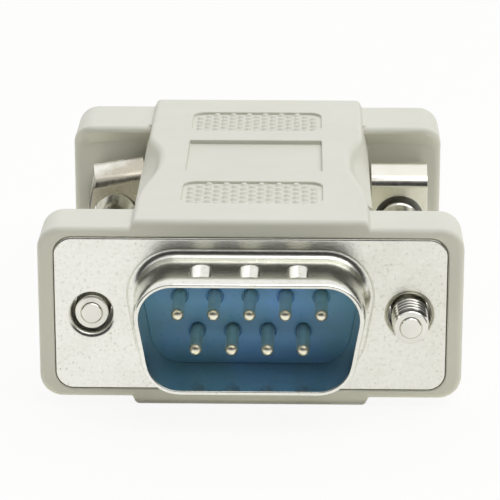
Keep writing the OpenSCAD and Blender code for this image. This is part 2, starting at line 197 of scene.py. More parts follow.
def ivory_finish():
    finish, tree, shader = new_finish("ivory_moulding", (0.69, 0.69, 0.58), 0.42)
    tone = colour_ramp(tree, noise(tree, 90, 3), [(0.3, (0.695, 0.695, 0.605)), (0.7, (0.72, 0.72, 0.63))])
    tree.links.new(tone, shader.inputs["Base Color"])
    tree.links.new(spread(tree, noise(tree, 500, 3), 0.38, 0.5), shader.inputs["Roughness"])
    add_bump(tree, shader, noise(tree, 6000, 2), 0.12, 0.00002)
    return finish


def nickel_sheet_finish():
    """Nickel on sheet steel: satin on the flat plates, brighter on the drawn shells, faintly smudged, with
    painted shade that darkens it towards the right.
    """
    finish, tree, shader = new_finish("nickel_sheet", (0.86, 0.86, 0.8), 0.2, 1.0)
    grain = noise(tree, 3500, 6, 0.8)
    speck, plain, bright = (0.56, 0.54, 0.45), (0.85, 0.85, 0.78), (0.9, 0.9, 0.84)
    sheet = colour_ramp(tree, grain, [(0.34, speck), (0.41, plain), (0.6, bright)])
    # Blotchy smudges mixed with painted shade that darkens the sheet towards +X, the right side.
    smudge_and_shade_amount = wavering(tree, along(tree, (14, 0, 0)), noise(tree, 300, 5, 0.7), 1.0)
    smudge_and_shade = colour_ramp(tree, smudge_and_shade_amount, [(0.3, (1.0, 1.0, 1.0)), (0.75, (0.89, 0.885, 0.86))])
    tree.links.new(multiplied(tree, sheet, smudge_and_shade), shader.inputs["Base Color"])
    from_middle = tree.nodes.new("ShaderNodeMath")
    from_middle.operation = "ABSOLUTE"
    tree.links.new(along(tree, (0, 1, 0)), from_middle.inputs[0])
    plate_end, shell_start, satin, polished = 0.01923, 0.0202, 0.19, 0.12
    polish = mapped(tree, from_middle.outputs[0], (plate_end, shell_start), (satin, polished))
    rough = wavering(tree, polish, noise(tree, 4500, 3, 0.6), 0.1)
    tree.links.new(rough, shader.inputs["Roughness"])
    add_bump(tree, shader, noise(tree, 900, 2), 0.05, 0.00003)
    add_bump(tree, shader, noise(tree, 6000, 3, 0.6), 0.32, 0.00002)
    return finish


def bright_nickel_finish(name, low, high, rough, relief=0.06):
    finish, tree, shader = new_finish(name, high, rough, 1.0)
    tone = colour_ramp(tree, noise(tree, 400, 3), [(0.3, low), (0.7, high)])
    tree.links.new(tone, shader.inputs["Base Color"])
    tree.links.new(spread(tree, noise(tree, 2200, 3), rough * 0.75, rough * 1.3), shader.inputs["Roughness"])
    add_bump(tree, shader, noise(tree, 3000, 2), relief, 0.00002)
    return finish


def clip_nickel_with_painted_shade():
    """The left clip's nickel with painted light and shade: bright along its upper outer corner, and a painted
    brown shade towards the screw that stands in for the shaded hood it mirrors.
    """
    finish, tree, shader = new_finish("painted_shade_clip_nickel", (0.8, 0.78, 0.7), 0.3, 1.0)
    # Painted shade: the colour turns from bright to dull brown across this slanting line, lower, further
    # right and further forward.
    edge = wavering(tree, along(tree, (0.6, -0.45, -1.0)), noise(tree, 900, 3), 0.0022)
    painted_shade = mapped(tree, edge, (-0.0228, -0.0205))
    tone = colour_ramp(tree, painted_shade, [(0.2, (0.93, 0.92, 0.84)), (0.8, (0.6, 0.56, 0.46))])
    tree.links.new(tone, shader.inputs["Base Color"])
    tree.links.new(spread(tree, noise(tree, 2200, 3), 0.24, 0.4), shader.inputs["Roughness"])
    add_bump(tree, shader, noise(tree, 700, 3), 0.1, 0.0001)
    add_bump(tree, shader, noise(tree, 3000, 2), 0.03, 0.00002)
    return finish


def insulator_finish(name, low, high):
    finish, tree, shader = new_finish(name, high, 0.28)
    tone = colour_ramp(tree, noise(tree, 170, 3), [(0.35, low), (0.65, high)])
    tree.links.new(tone, shader.inputs["Base Color"])
    tree.links.new(spread(tree, noise(tree, 1800, 3), 0.25, 0.42), shader.inputs["Roughness"])
    add_bump(tree, shader, noise(tree, 4000, 2), 0.08, 0.00002)
    return finish


def gold_finish():
    """A thin, pale gold flash over nickel."""
    finish, tree, shader = new_finish("contact_gold", (0.93, 0.9, 0.72), 0.36, 1.0)
    tone = colour_ramp(tree, noise(tree, 1500, 2), [(0.3, (0.9, 0.85, 0.65)), (0.7, (0.97, 0.94, 0.78))])
    tree.links.new(tone, shader.inputs["Base Color"])
    tree.links.new(spread(tree, noise(tree, 3000, 2), 0.3, 0.42), shader.inputs["Roughness"])
    return finish


def inner_plastic_finish():
    finish, tree, shader = new_finish("inner_plastic", (0.7, 0.7, 0.64), 0.55)
    tone = colour_ramp(tree, noise(tree, 200, 3), [(0.3, (0.66, 0.66, 0.6)), (0.7, (0.72, 0.72, 0.66))])
    tree.links.new(tone, shader.inputs["Base Color"])
    return finish


IVORY = ivory_finish()
NICKEL_SHEET = nickel_sheet_finish()
PAINTED_SHADE_CLIP = clip_nickel_with_painted_shade()
SCREW_NICKEL = bright_nickel_finish("screw_nickel", (0.72, 0.71, 0.64), (0.82, 0.81, 0.74), 0.16)
CLIP_NICKEL = bright_nickel_finish("clip_nickel", (0.86, 0.84, 0.74), (0.92, 0.9, 0.82), 0.2, 0.025)
RING_STEEL = bright_nickel_finish("ring_steel", (0.2, 0.2, 0.19), (0.3, 0.3, 0.28), 0.4)
# The front insulator's blue is painted lighter than the rear one's, to make up for the shade inside the
# shell's well; the rear one's deeper blue is the plastic's own colour.
BLUE_PLASTIC = insulator_finish("blue_insulator", (0.17, 0.47, 0.72), (0.18, 0.47, 0.97))
DEEP_BLUE_PLASTIC = insulator_finish("deep_blue_insulator", (0.07, 0.26, 0.5), (0.08, 0.27, 0.62))
GOLD = gold_finish()
INNER_PLASTIC = inner_plastic_finish()
COPPER = bright_nickel_finish("tinned_copper", (0.6, 0.36, 0.25), (0.72, 0.45, 0.32), 0.35)

NODE_FINISHES = {
    "hood": IVORY,
    "inner_mould": INNER_PLASTIC,
    "front_shell": NICKEL_SHEET,
    "rear_shell": NICKEL_SHEET,
    "front_back_shell": NICKEL_SHEET,
    "rear_back_shell": NICKEL_SHEET,
    "front_insulator": BLUE_PLASTIC,
    "rear_insulator": DEEP_BLUE_PLASTIC,
    "male_pin": GOLD,
    "socket_contact": GOLD,
    "link_wire": COPPER,
    "clip": CLIP_NICKEL,
    "snap_ring": RING_STEEL,
    "jackscrew": SCREW_NICKEL,
}


def finish_solids():
    for name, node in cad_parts.items():
        key = max((k for k in NODE_FINISHES if name.startswith(k)), key=len)
        node.data.materials.clear()
        node.data.materials.append(NODE_FINISHES[key])


finish_solids()


# ---- Lofted forms: one ring of points drawn along the piece, ring after ring ----


def first_ring(form, places):
    """Starts a form with a closed ring of points."""
    ring = bmesh.ops.create_circle(form, segments=len(places), radius=1, cap_ends=False)["verts"]
    for vert, place in zip(ring, places):
        vert.co = place
    return ring


def next_ring(form, ring, places):
    """Extrudes the ring once and moves the new points to their places."""
    edges = [form.edges.get((ring[i - 1], ring[i])) for i in range(len(ring))]
    grown = bmesh.ops.extrude_edge_only(form, edges=edges)["geom"]
    fresh = {vert for vert in grown if isinstance(vert, bmesh.types.BMVert)}
    after = []
    for vert in ring:
        after.append(next(e.other_vert(vert) for e in vert.link_edges if e.other_vert(vert) in fresh))
    for vert, place in zip(after, places):
        vert.co = place
    return after


def close_ring(form, ring):
    edges = [form.edges.get((ring[i - 1], ring[i])) for i in range(len(ring))]
    bmesh.ops.contextual_create(form, geom=edges)


def loft(rings, closed=False):
    """A form through all the rings: capped at both ends, or joined end to end where closed."""
    form = bmesh.new()
    start = ring = first_ring(form, rings[0])
    for places in rings[1:]:
        ring = next_ring(form, ring, places)
    if closed:
        edges = [form.edges.get((r[i - 1], r[i])) for r in (start, ring) for i in range(len(r))]
        bmesh.ops.bridge_loops(form, edges=edges)
    else:
        close_ring(form, start)
        close_ring(form, ring)
    bmesh.ops.recalc_face_normals(form, faces=form.faces[:])
    return form


def arc(centre_x, centre_z, radius, start, end, count):
    """Points on an arc, with angles in degrees from +X towards +Z."""
    points = []
    for i in range(count):
        angle = math.radians(start + (end - start) * i / (count - 1))
        points.append((centre_x + radius * math.cos(angle), centre_z + radius * math.sin(angle)))
    return points


def blend(first, second, share):
    return first + (second - first) * share


def all_round(quarter):
    """Mirrors a quarter outline, from the top middle to the right middle, into a full closed one."""
    right = quarter + [(x, -z) for x, z in reversed(quarter)]
    return right + [(-x, z) for x, z in reversed(right)]


# ---- Moulded hood ----

FRONT_HALF_W, REAR_HALF_W, FLANGE_HALF = 16.7, 16.3, 7.05
RAISED_HALF, RAISED_HALF_W, CORE_HALF_W = 7.7, 9.25, 9.75
FLANGE_CORNER, FLANGE_EDGE, RAISED_EDGE, RAISED_FOOT = 1.8, 0.5, 0.45, 0.2
FRONT_FLANGE_T, LIP_Y, WALL_Y, POCKET_HALF = 5.4, 29.3, 30.2, 5.45
POCKET_FILLET, PANEL_W, LABEL_DEPTH, GRIP_DEPTH, GRIP_PLACES = 0.35, 11.3, 0.35, 0.22, (7.7, 29.1)
SEAT_HALF_W, SEAT_HALF_H, SEAT_CORNER, SEAT_DEPTH, SEAT_BRIM = 15.455, 6.325, 1.45, 1.05, 0.1
SCREW_X, FRONT_BORE_R, REAR_BORE_R = 12.495, 1.87, 1.65
# Half width, half height, and how far in from each end a cavity starts (and ends)
SHELL_CAVITY, CORE_CAVITY = (9.65, 5.35, 1.0, 3.65), (8.85, 4.65, 3.0)
RAISED_COUNT, CORNER_COUNT, SIDE_SHARES = 9, 9, (0.8, 0.5, 0.1)
EDGE_TURNS = [math.radians(angle) for angle in (0, 22, 45, 68, 90)]
# How deep the finger scallops cut into the raised middle, along the hood
SCALLOP = [
    (0, 0.0), (6.0, 0.0), (8.5, 0.14), (10.5, 0.42), (12.7, 0.78), (14.6, 1.04), (16.6, 1.12),
    (18.6, 1.1), (20.2, 0.98), (21.7, 0.6), (23.2, 0.16), (24.6, 0.0), (40, 0.0),
]


def scallop_depth(y):
    """The scallop's depth at a place along the hood, between the listed ones."""
    for (y0, depth0), (y1, depth1) in zip(SCALLOP, SCALLOP[1:]):
        if y0 <= y <= y1:
            return blend(depth0, depth1, (y - y0) / (y1 - y0))
    return 0.0


def raised_quarter(edge_x, top, soft):
    """The raised middle's top, its rounded edge and the top of its side."""
    points = [(5.9, top), (max(edge_x - soft - 0.6, 6.2), top)]
    return points + arc(edge_x - soft, top - soft, soft, 90, 8, RAISED_COUNT - len(points))


def flange_quarter(half_w, inset):
    """A quarter of a flange's outline with the raised middle on it, drawn in by inset."""
    points = raised_quarter(RAISED_HALF_W, RAISED_HALF - inset, RAISED_EDGE)
    level = FLANGE_HALF - inset
    foot = RAISED_HALF_W + 0.05
    points += arc(foot + RAISED_FOOT, level + RAISED_FOOT, RAISED_FOOT, 180, 270, 4)
    corner = FLANGE_CORNER - inset * 0.6
    corner_x, corner_z = half_w - inset - corner, level - corner
    points += [(blend(foot + RAISED_FOOT, corner_x, share), level) for share in (0.35, 0.7)]
    points += arc(corner_x, corner_z, corner, 90, 0, CORNER_COUNT)
    points += [(half_w - inset, corner_z * share) for share in SIDE_SHARES]
    return points


def waist_quarter(y, out=0.0):
    """A quarter of the section between the flanges; out widens the foot of a fillet to a flange."""
    depth = scallop_depth(y)
    soft = RAISED_EDGE + 0.25 * depth
    edge_x = RAISED_HALF_W - depth
    points = raised_quarter(edge_x, RAISED_HALF, soft)
    brow = (edge_x, RAISED_HALF - soft)
    ledge = (CORE_HALF_W + out, POCKET_HALF - 0.1)
    for share in (0.1, 0.2, 0.3, 0.4, 0.6, 0.8):
        hollow = 0.25 * depth * math.sin(math.pi * share)
        x = blend(brow[0], ledge[0], share) - hollow + out * (1 - share)
        points.append((x, blend(brow[1], ledge[1], share)))
    points += arc(ledge[0] - 0.15, ledge[1] - 0.15, 0.15, 60, 0, 4)
    points += [(ledge[0], z) for z in (4.6, 4.0, 3.4, 2.8, 2.2, 1.6, 1.0, 0.4)]
    return points


def on_plane(quarter, y):
    """The full outline of a quarter, set at a place along the hood."""
    return [Vector((x, y, z)) for x, z in all_round(quarter)]


def steps(start, end, count):
    """Evenly spaced places, with both ends."""
    return [start + (end - start) * i / (count - 1) for i in range(count)]


def seat_quarter(flange_half_w, grow=0.0):
    """The plate's seat, with its points level with those of the flange's outline."""
    half_w, half_h = SEAT_HALF_W + grow, SEAT_HALF_H + grow
    corner = SEAT_CORNER + grow
    along_top = flange_quarter(flange_half_w, FLANGE_EDGE)[: -CORNER_COUNT - len(SIDE_SHARES)]
    top = [(place[0], half_h) for place in along_top]
    side = [(half_w, (half_h - corner) * share) for share in SIDE_SHARES]
    return top + arc(half_w - corner, half_h - corner, corner, 90, 0, CORNER_COUNT) + side


def pocket_wall_quarter(half_w, half_h):
    """The foot of the rear flange's lip, round the pocket's rear wall."""
    outline = flange_quarter(half_w, FLANGE_EDGE)
    rise = half_h / (FLANGE_HALF - FLANGE_EDGE)
    points = raised_quarter(RAISED_HALF_W, RAISED_HALF, RAISED_EDGE)
    foot = RAISED_HALF_W + 0.05
    points += [(foot + shift, half_h) for shift in (0.0, 0.08, 0.16, 0.25)]
    return points + [(x, z * rise) for x, z in outline[len(points):]]


def lip_y(z):
    """The rear flange's front: the lips stand forward of the pocket's wall."""
    share = (abs(z) - POCKET_HALF) / (FLANGE_HALF - FLANGE_EDGE - POCKET_HALF)
    return blend(WALL_Y, LIP_Y, min(max(share, 0), 1))


def raised_points(ring):
    """Which of a ring's points belong to the raised middle."""
    quarter = len(ring) // 4
    near = [i % quarter if (i // quarter) % 2 == 0 else quarter - 1 - i % quarter for i in range(len(ring))]
    return [place < RAISED_COUNT for place in near]


def with_raised(ring, y):
    """Moves the raised middle's points to their own place along the hood."""
    return [Vector((p.x, y, p.z)) if up else p for p, up in zip(ring, raised_points(ring))]


def front_flange_rings():
    """From the plate's seat over the flange's front edge to its rear edge."""
    rings = [
        on_plane(seat_quarter(FRONT_HALF_W), SEAT_DEPTH),
        on_plane(seat_quarter(FRONT_HALF_W), SEAT_BRIM),
        on_plane(seat_quarter(FRONT_HALF_W, SEAT_BRIM), 0.0),
    ]
    for turn in EDGE_TURNS:
        inset = FLANGE_EDGE * (1 - math.sin(turn))
        rings.append(on_plane(flange_quarter(FRONT_HALF_W, inset), FLANGE_EDGE * (1 - math.cos(turn))))
    full = on_plane(flange_quarter(FRONT_HALF_W, 0), 0)
    for turn in EDGE_TURNS:
        inset = FLANGE_EDGE * (1 - math.cos(turn))
        y = FRONT_FLANGE_T - FLANGE_EDGE * (1 - math.sin(turn))
        ring = on_plane(flange_quarter(FRONT_HALF_W, inset), y)
        rings.append([
            Vector((f.x, y, f.z)) if up else p for p, f, up in zip(ring, full, raised_points(ring))
        ])
    return rings


def waist_rings():
    """The core and the raised middle between the flanges, with a fillet to each flange."""
    start, end, raised_end, raised_step = 6.2, 28.6, 28.7, 0.1
    rings = []
    for turn in EDGE_TURNS:
        out = POCKET_FILLET * (1 - math.sin(turn))
        y = FRONT_FLANGE_T + POCKET_FILLET * (1 - math.cos(turn))
        rings.append(on_plane(waist_quarter(y, out), y))
    for y in steps(start, end, 38):
        rings.append(on_plane(waist_quarter(y), y))
    for i, turn in enumerate(reversed(EDGE_TURNS)):
        out = POCKET_FILLET * (1 - math.sin(turn))
        y = WALL_Y - POCKET_FILLET * (1 - math.cos(turn))
        rings.append(with_raised(on_plane(waist_quarter(WALL_Y, out), y), raised_end + raised_step * i))
    return rings


def rear_flange_rings():
    """From the pocket's rear wall over the lips and the flange's edges to the rear plate's seat."""
    raised_start, raised_step = 29.3, 0.15
    wall = on_plane(pocket_wall_quarter(REAR_HALF_W - 0.02, POCKET_HALF), WALL_Y)
    rings = [with_raised(wall, raised_start - 0.1)]
    foot = on_plane(flange_quarter(REAR_HALF_W, FLANGE_EDGE), 0)
    full = on_plane(flange_quarter(REAR_HALF_W, 0), 0)
    for i, turn in enumerate(EDGE_TURNS):
        ring = on_plane(flange_quarter(REAR_HALF_W, FLANGE_EDGE * (1 - math.sin(turn))), 0)
        back = FLANGE_EDGE * (1 - math.cos(turn))
        raised_y = raised_start + raised_step * i
        rings.append([
            Vector((w.x, raised_y, w.z)) if up else Vector((p.x, lip_y(f.z) + back, p.z))
            for p, f, w, up in zip(ring, foot, full, raised_points(ring))
        ])
    for turn in reversed(EDGE_TURNS):
        inset = FLANGE_EDGE * (1 - math.sin(turn))
        y = HOOD_LENGTH - FLANGE_EDGE * (1 - math.cos(turn))
        rings.append(on_plane(flange_quarter(REAR_HALF_W, inset), y))
    rings.append(on_plane(seat_quarter(REAR_HALF_W, SEAT_BRIM), HOOD_LENGTH))
    rings.append(on_plane(seat_quarter(REAR_HALF_W), HOOD_LENGTH - SEAT_BRIM))
    rings.append(on_plane(seat_quarter(REAR_HALF_W), HOOD_LENGTH - SEAT_DEPTH))
    return rings


def box_cutter(size, centre):
    form = bmesh.new()
    bmesh.ops.create_cube(form, size=1)
    bmesh.ops.scale(form, vec=size, verts=form.verts[:])
    bmesh.ops.translate(form, vec=centre, verts=form.verts[:])
    return make_object("cutter", form)


def bar_cutter(x, radius, y0, y1):
    """A round bar along the hood."""
    form = bmesh.new()
    bmesh.ops.create_cone(form, cap_ends=True, segments=48, radius1=radius, radius2=radius, depth=y1 - y0)
    bmesh.ops.rotate(form, cent=(0, 0, 0), matrix=Matrix.Rotation(math.pi / 2, 3, "X"), verts=form.verts[:])
    bmesh.ops.translate(form, vec=(x, (y0 + y1) / 2, 0), verts=form.verts[:])
    return make_object("cutter", form)


def panel_cutter(centre_y, length, width, depth, corner, side):
    """A shallow recess with rounded corners and a soft brim, in the top or the bottom face."""
    def outline(grow, z):
        half_w, half_l, radius = width / 2 + grow, length / 2 + grow, corner + grow
        points = arc(half_w - radius, half_l - radius, radius, 90, 0, 7)
        return [Vector((x, centre_y + l, side * z)) for x, l in all_round(points)]

    brim = 0.06
    rings = [
        outline(brim, RAISED_HALF + 1),
        outline(brim, RAISED_HALF),
        outline(brim * 0.3, RAISED_HALF - brim * 0.6),
        outline(0, RAISED_HALF - brim * 1.2),
        outline(0, RAISED_HALF - depth),
    ]
    return make_object("cutter", loft(rings))


def grip_studs(form):
    """Rows of small blunt studs on the floor of each grip patch, top and bottom."""
    pitch, row_pitch, half_columns, reach, end_reach = 0.71, 1.15, 7, 3.1, 2.5
    foot_r, top_r, height, sunk = 0.5, 0.2, 0.24, 0.05
    level = RAISED_HALF - GRIP_DEPTH + height / 2 - sunk
    for side in (1, -1):
        for centre_y in GRIP_PLACES:
            for column in range(-half_columns, half_columns + 1):
                shift = 0 if column % 2 == 0 else row_pitch / 2
                longest = end_reach if abs(column) == half_columns else reach
                for row in range(-3, 4):
                    y = row * row_pitch + shift - row_pitch / 4
                    if abs(y) > longest:
                        continue
                    stud = bmesh.ops.create_cone(
                        form, cap_ends=True, segments=8, radius1=foot_r, radius2=top_r, depth=height
                    )["verts"]
                    bmesh.ops.scale(form, vec=(0.92, 1.08, side), verts=stud)
                    bmesh.ops.translate(form, vec=(column * pitch, centre_y + y, side * level), verts=stud)


def build_hood():
    """The hood: its lofted outside, then the jackscrew tunnels, the core's space, label and grips."""
    hood = make_object("moulded_hood", loft(front_flange_rings() + waist_rings() + rear_flange_rings()))
    for side in (-1, 1):
        cut(hood, bar_cutter(side * SCREW_X, FRONT_BORE_R, -1, FRONT_FLANGE_T + 1))
        cut(hood, bar_cutter(side * SCREW_X, REAR_BORE_R, WALL_Y - 1, HOOD_LENGTH + 1))
    half_w, half_h, near, far = SHELL_CAVITY
    for middle in ((near + far) / 2, HOOD_LENGTH - (near + far) / 2):
        cut(hood, box_cutter((2 * half_w, far - near, 2 * half_h), (0, middle, 0)))
    half_w, half_h, end = CORE_CAVITY
    cut(hood, box_cutter((2 * half_w, HOOD_LENGTH - 2 * end, 2 * half_h), (0, HOOD_LENGTH / 2, 0)))
    for side in (1, -1):
        cut(hood, panel_cutter(HOOD_LENGTH / 2, 9.2, PANEL_W, LABEL_DEPTH, 0.12, side))
        for centre_y in GRIP_PLACES:
            cut(hood, panel_cutter(centre_y, 6.0, PANEL_W, GRIP_DEPTH, 1.1, side))
    form = bmesh.new()
    form.from_mesh(hood.data)
    grip_studs(form)
    bmesh.ops.recalc_face_normals(form, faces=form.faces[:])
    bpy.data.objects.remove(hood)
    hood = make_object("moulded_hood", form, 34)
    even_shading(hood)
    to_row_frame(hood.data)
    return dress(hood, "connector", "ivory", IVORY, "hood")


build_hood()


# ---- Drawn sheet shells ----

PLATE_HALF_W, PLATE_HALF_H, PLATE_CORNER, SHEET = 15.405, 6.275, 1.4, 0.5
SHELL_LEAN = math.radians(10)
PLATE_HOLE_R, HOLE_FLARE = 1.66, 0.42
DIMPLE_PITCH, DIMPLE_GROW, SHEET_SMOOTH = 3.75, 0.2, 19
CLIP_FRONT_Y, CLIP_DEPTH = 25.03, 4.9


def both_sides(half):
    """Mirrors a right half, from the top middle to the bottom middle, into a closed outline."""
    return half + [(-x, z) for x, z in reversed(half)]


def d_half(width, height, radius):
    """The right half of a D outline: wide side up, short side leaning inwards."""
    high_x, high_z = width / 2 - radius, height / 2 - radius
    low_x = high_x - (height - 2 * radius) * math.tan(SHELL_LEAN)
    upper = arc(high_x, high_z, radius, 90, -10, 11)
    lower = arc(low_x, -high_z, radius, -10, -90, 11)
    between = [
        (blend(upper[-1][0], lower[0][0], share), blend(upper[-1][1], lower[0][1], share))
        for share in (0.25, 0.5, 0.75)
    ]
    top = [(high_x * share, height / 2) for share in (0.1, 0.4, 0.7)]
    bottom = [(low_x * share, -height / 2) for share in (0.7, 0.4, 0.1)]
    return top + upper + between + lower + bottom


def plate_half(inset):
    """The right half of the mounting plate's outline, drawn in by inset."""
    half_w, half_h, radius = PLATE_HALF_W - inset, PLATE_HALF_H - inset, PLATE_CORNER - inset * 0.5
    x, z = half_w - radius, half_h - radius
    top = [(x * share, half_h) for share in (0.1, 0.4, 0.7)]
    side = [(half_w, z * share) for share in (0.5, 0, -0.5)]
    bottom = [(px, -pz) for px, pz in reversed(top)]
    return top + arc(x, z, radius, 90, 0, 11) + side + arc(x, -z, radius, 0, -90, 11) + bottom


def shell_rings(inner_w, inner_h, inner_r, reach, root):
    """Up the inside of the wall, round its mouth, down the outside and over the plate to its back."""
    roll, mouth_thin, mouth_long, brim = 0.1, 0.3, 1.3, 0.16

    def wall(grow, y):
        half = d_half(inner_w + 2 * grow, inner_h + 2 * grow, inner_r + grow)
        return [Vector((x, y, z)) for x, z in both_sides(half)]

    def plate(inset, y):
        return [Vector((x, y, z)) for x, z in both_sides(plate_half(inset))]

    rings = [wall(0, y) for y in (SHEET, -1.5, -3.5, -reach + roll)]
    for angle in range(15, 91, 15):
        turn = math.radians(angle)
        rings.append(wall(roll * (1 - math.cos(turn)), -reach + roll * (1 - math.sin(turn))))
    for angle in (0, 3, 6, 9, 13, 18, 25, 35, 47, 60, 75, 90):
        turn = math.radians(angle)
        out, back = mouth_thin * (1 - math.sin(turn)), mouth_long * (1 - math.cos(turn))
        rings.append(wall(SHEET - out, -reach + back))
    rings += [wall(SHEET, y) for y in (-reach / 2, -root - 0.4)]
    for angle in range(0, 91, 10):
        turn = math.radians(angle)
        rings.append(wall(SHEET + root * (1 - math.cos(turn)), -root * (1 - math.sin(turn))))
    groove = ((0.02, 0.03), (0.05, 0.08), (0.1, 0.08), (0.14, 0.0))
    rings += [wall(SHEET + root + out, back) for out, back in groove]
    rings.append(plate(brim + 0.1, 0))
    for angle in range(90, -1, -15):
        turn = math.radians(angle)
        rings.append(plate(brim * (1 - math.cos(turn)), brim * (1 - math.sin(turn))))
    rings += [plate(0, SHEET - 0.06), plate(0.06, SHEET), plate(0.5, SHEET)]
    rings.append(wall(0.3, SHEET))
    return rings


def turned(profile, sides=48):
    """A solid of revolution about Y, from a profile of radius and place along Y."""
    form = bmesh.new()
    chain = [form.verts.new((radius, y, 0)) for radius, y in profile]
    edges = [form.edges.new(pair) for pair in zip(chain, chain[1:])]
    bmesh.ops.spin(
        form,
        geom=chain + edges,
        cent=(0, 0, 0),
        axis=(0, 1, 0),
        angle=2 * math.pi,
        steps=sides,
        use_merge=True,
    )
    bmesh.ops.remove_doubles(form, verts=form.verts[:], dist=0.0005)
    bmesh.ops.recalc_face_normals(form, faces=form.faces[:])
    return form


def hole_cutter(x, bore, flare):
    """A hole with the rolled brim that punching leaves."""
    profile = [(0, -1), (bore + flare, -1), (bore + flare, 0)]
    profile += [
        (bore + flare * (1 - math.sin(math.radians(a))), flare * 0.75 * (1 - math.cos(math.radians(a))))
        for a in (15, 30, 45, 60, 75, 90)
    ]
    profile += [(bore, 2), (0, 2)]
    form = turned(profile)
    bmesh.ops.translate(form, vec=(x, 0, 0), verts=form.verts[:])
    return make_object("cutter", form)


def dimple_form(x, top, grow=0.0):
    """A pressed scoop: a steep straight brim at the front, a bowl that rises to a round end behind."""
    def outline(half_w, start, end, z):
        half_w, start, end, bow = half_w + grow, start - grow, end + grow, (end - start) * 0.4
        half = [(0, start), (half_w * 0.5, start), (half_w * 0.86, start + 0.03), (half_w, start + 0.22)]
        half += [(half_w, end - bow * 1.3), (half_w, end - bow)]
        half += [(half_w * math.cos(a), end - bow * (1 - math.sin(a))) for a in (0.35, 0.7, 1.05, 1.35)]
        half.append((0, end))
        return [Vector((x + px, y, top + z)) for px, y in half + [(-px, y) for px, y in reversed(half[1:-1])]]

    rings = [
        outline(0.86, -4.72, -1.72, 0.5 if grow == 0 else -0.2),
        outline(0.86, -4.72, -1.72, 0.0 if grow == 0 else -0.3),
        outline(0.84, -4.7, -1.82, -0.04 - grow * 1.6),
        outline(0.79, -4.66, -3.02, -0.55 - grow),
    ]
    return make_object("cutter", loft(rings))


def build_shell(name, node, inner_w, inner_h, inner_r, reach, root, flip):
    """A drawn shell with its plate; the front one has dimples, the rear one is turned round."""
    form = loft(shell_rings(inner_w, inner_h, inner_r, reach, root), closed=True)
    shell = make_object(name, form, SHEET_SMOOTH)
    for side in (-1, 1):
        cut(shell, hole_cutter(side * SCREW_X, PLATE_HOLE_R, HOLE_FLARE))
    if not flip:
        for place in (-1, 0, 1):
            cut(shell, dimple_form(place * DIMPLE_PITCH, inner_h / 2 + SHEET, DIMPLE_GROW), "UNION")
            cut(shell, dimple_form(place * DIMPLE_PITCH, inner_h / 2 + SHEET))
    form = bmesh.new()
    form.from_mesh(shell.data)
    bpy.data.objects.remove(shell)
    if flip:
        bmesh.ops.scale(form, vec=(1, -1, 1), verts=form.verts[:])
        bmesh.ops.translate(form, vec=(0, HOOD_LENGTH, 0), verts=form.verts[:])
        bmesh.ops.recalc_face_normals(form, faces=form.faces[:])
    shell = make_object(name, form, SHEET_SMOOTH)
    even_shading(shell)
    to_row_frame(shell.data)
    return dress(shell, "connector", "nickel", NICKEL_SHEET, node)


# ---- Softened copies of solids ----


def fill_shell(form):
    """Widens the insulator's face until it meets the shell round it."""
    face_back, far_x, far_z, wider, taller = 1.1, 6.6, 3.3, 1.0053, 1.0107
    for vert in form.verts:
        x, y, z = vert.co.x / MM, vert.co.y / MM + MID_Y, vert.co.z / MM - SCREW_LEVEL
        if y < face_back and (abs(z) > far_z or abs(x) > far_x):
            vert.co.x = x * wider * MM
            vert.co.z = (z * taller + SCREW_LEVEL) * MM


def soften(name, node, material_slot, material, width, shape, source=None):
    """A copy of one of the connector's solids, reshaped and with its sharp edges rounded."""
    form = bmesh.new()
    form.from_mesh(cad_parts[source or node].data)
    bmesh.ops.remove_doubles(form, verts=form.verts[:], dist=1e-6)
    bmesh.ops.dissolve_limit(form, angle_limit=math.radians(1), verts=form.verts[:], edges=form.edges[:])
    sharp = [e for e in form.edges if e.is_manifold and e.calc_face_angle() > math.radians(40)]
    bmesh.ops.bevel(
        form,
        geom=sharp,
        offset=width * MM,
        segments=2,
        profile=0.5,
        affect="EDGES",
        material=-1,
        clamp_overlap=True,
    )
    shape(form)
    copy = make_object(name, form, 40)
    even_shading(copy)
    return dress(copy, "connector", material_slot, material, node)


def crown_clip(form):
    """Bows the clip's flat top up between its two bends."""
    front, middle = CLIP_FRONT_Y - MID_Y, CLIP_DEPTH / 2
    foot, height, drop, soft = 2.2, 0.85, 0.2, 0.3
    for along in (0.35, 0.7, 1.2, 1.7, 2.05, 2.3, 2.45, 2.6, 2.85, 3.2, 3.7, 4.2, 4.55):
        everything = form.verts[:] + form.edges[:] + form.faces[:]
        place = (0, (front + along) * MM, 0)
        bmesh.ops.bisect_plane(form, geom=everything, plane_co=place, plane_no=(0, 1, 0))
    for vert in form.verts:
        from_middle = vert.co.y / MM - front - middle
        near = min(max((vert.co.z / MM - SCREW_LEVEL - foot) / height, 0), 1)
        rise = (middle - math.hypot(from_middle, soft)) / middle - drop
        vert.co.z += near * rise * MM


def crown_left_clip(form):
    """The left clip: the same as the right one, bent over above its holes, loose and tilted."""
    crown_clip(form)
    foot, height, lean, narrowing, yaw, roll = 1.6, 1.7, 0.7, 0.2, 5, -8
    for vert in form.verts:
        across = vert.co.x / MM - SCREW_X
        bent = min(max((vert.co.z / MM - SCREW_LEVEL - foot) / height, 0), 1)
        vert.co.x += bent * (lean - narrowing * min(across, 0)) * MM
    middle = (CLIP_FRONT_Y + CLIP_DEPTH / 2 - MID_Y) * MM
    to_origin = Matrix.Translation((-SCREW_X * MM, -middle, -SCREW_LEVEL * MM))
    tilt = Matrix.Rotation(math.radians(yaw), 4, "Z") @ Matrix.Rotation(math.radians(roll), 4, "Y")
    back = Matrix.Translation((-SCREW_X * MM, middle, SCREW_LEVEL * MM))
    bmesh.ops.transform(form, matrix=back @ tilt @ to_origin, verts=form.verts[:])


# ---- Jackscrews ----

THREAD_PITCH, THREAD_R, THREAD_ROOT_R, THREAD_TIP_R = 0.635, 1.42, 1.0, 0.93
RING_Y, DRAWN_BACK = 25.73, 3.0
TIP_Y, THREAD_END_Y, HEAD_Y = -28.73, -20.73, 11.12


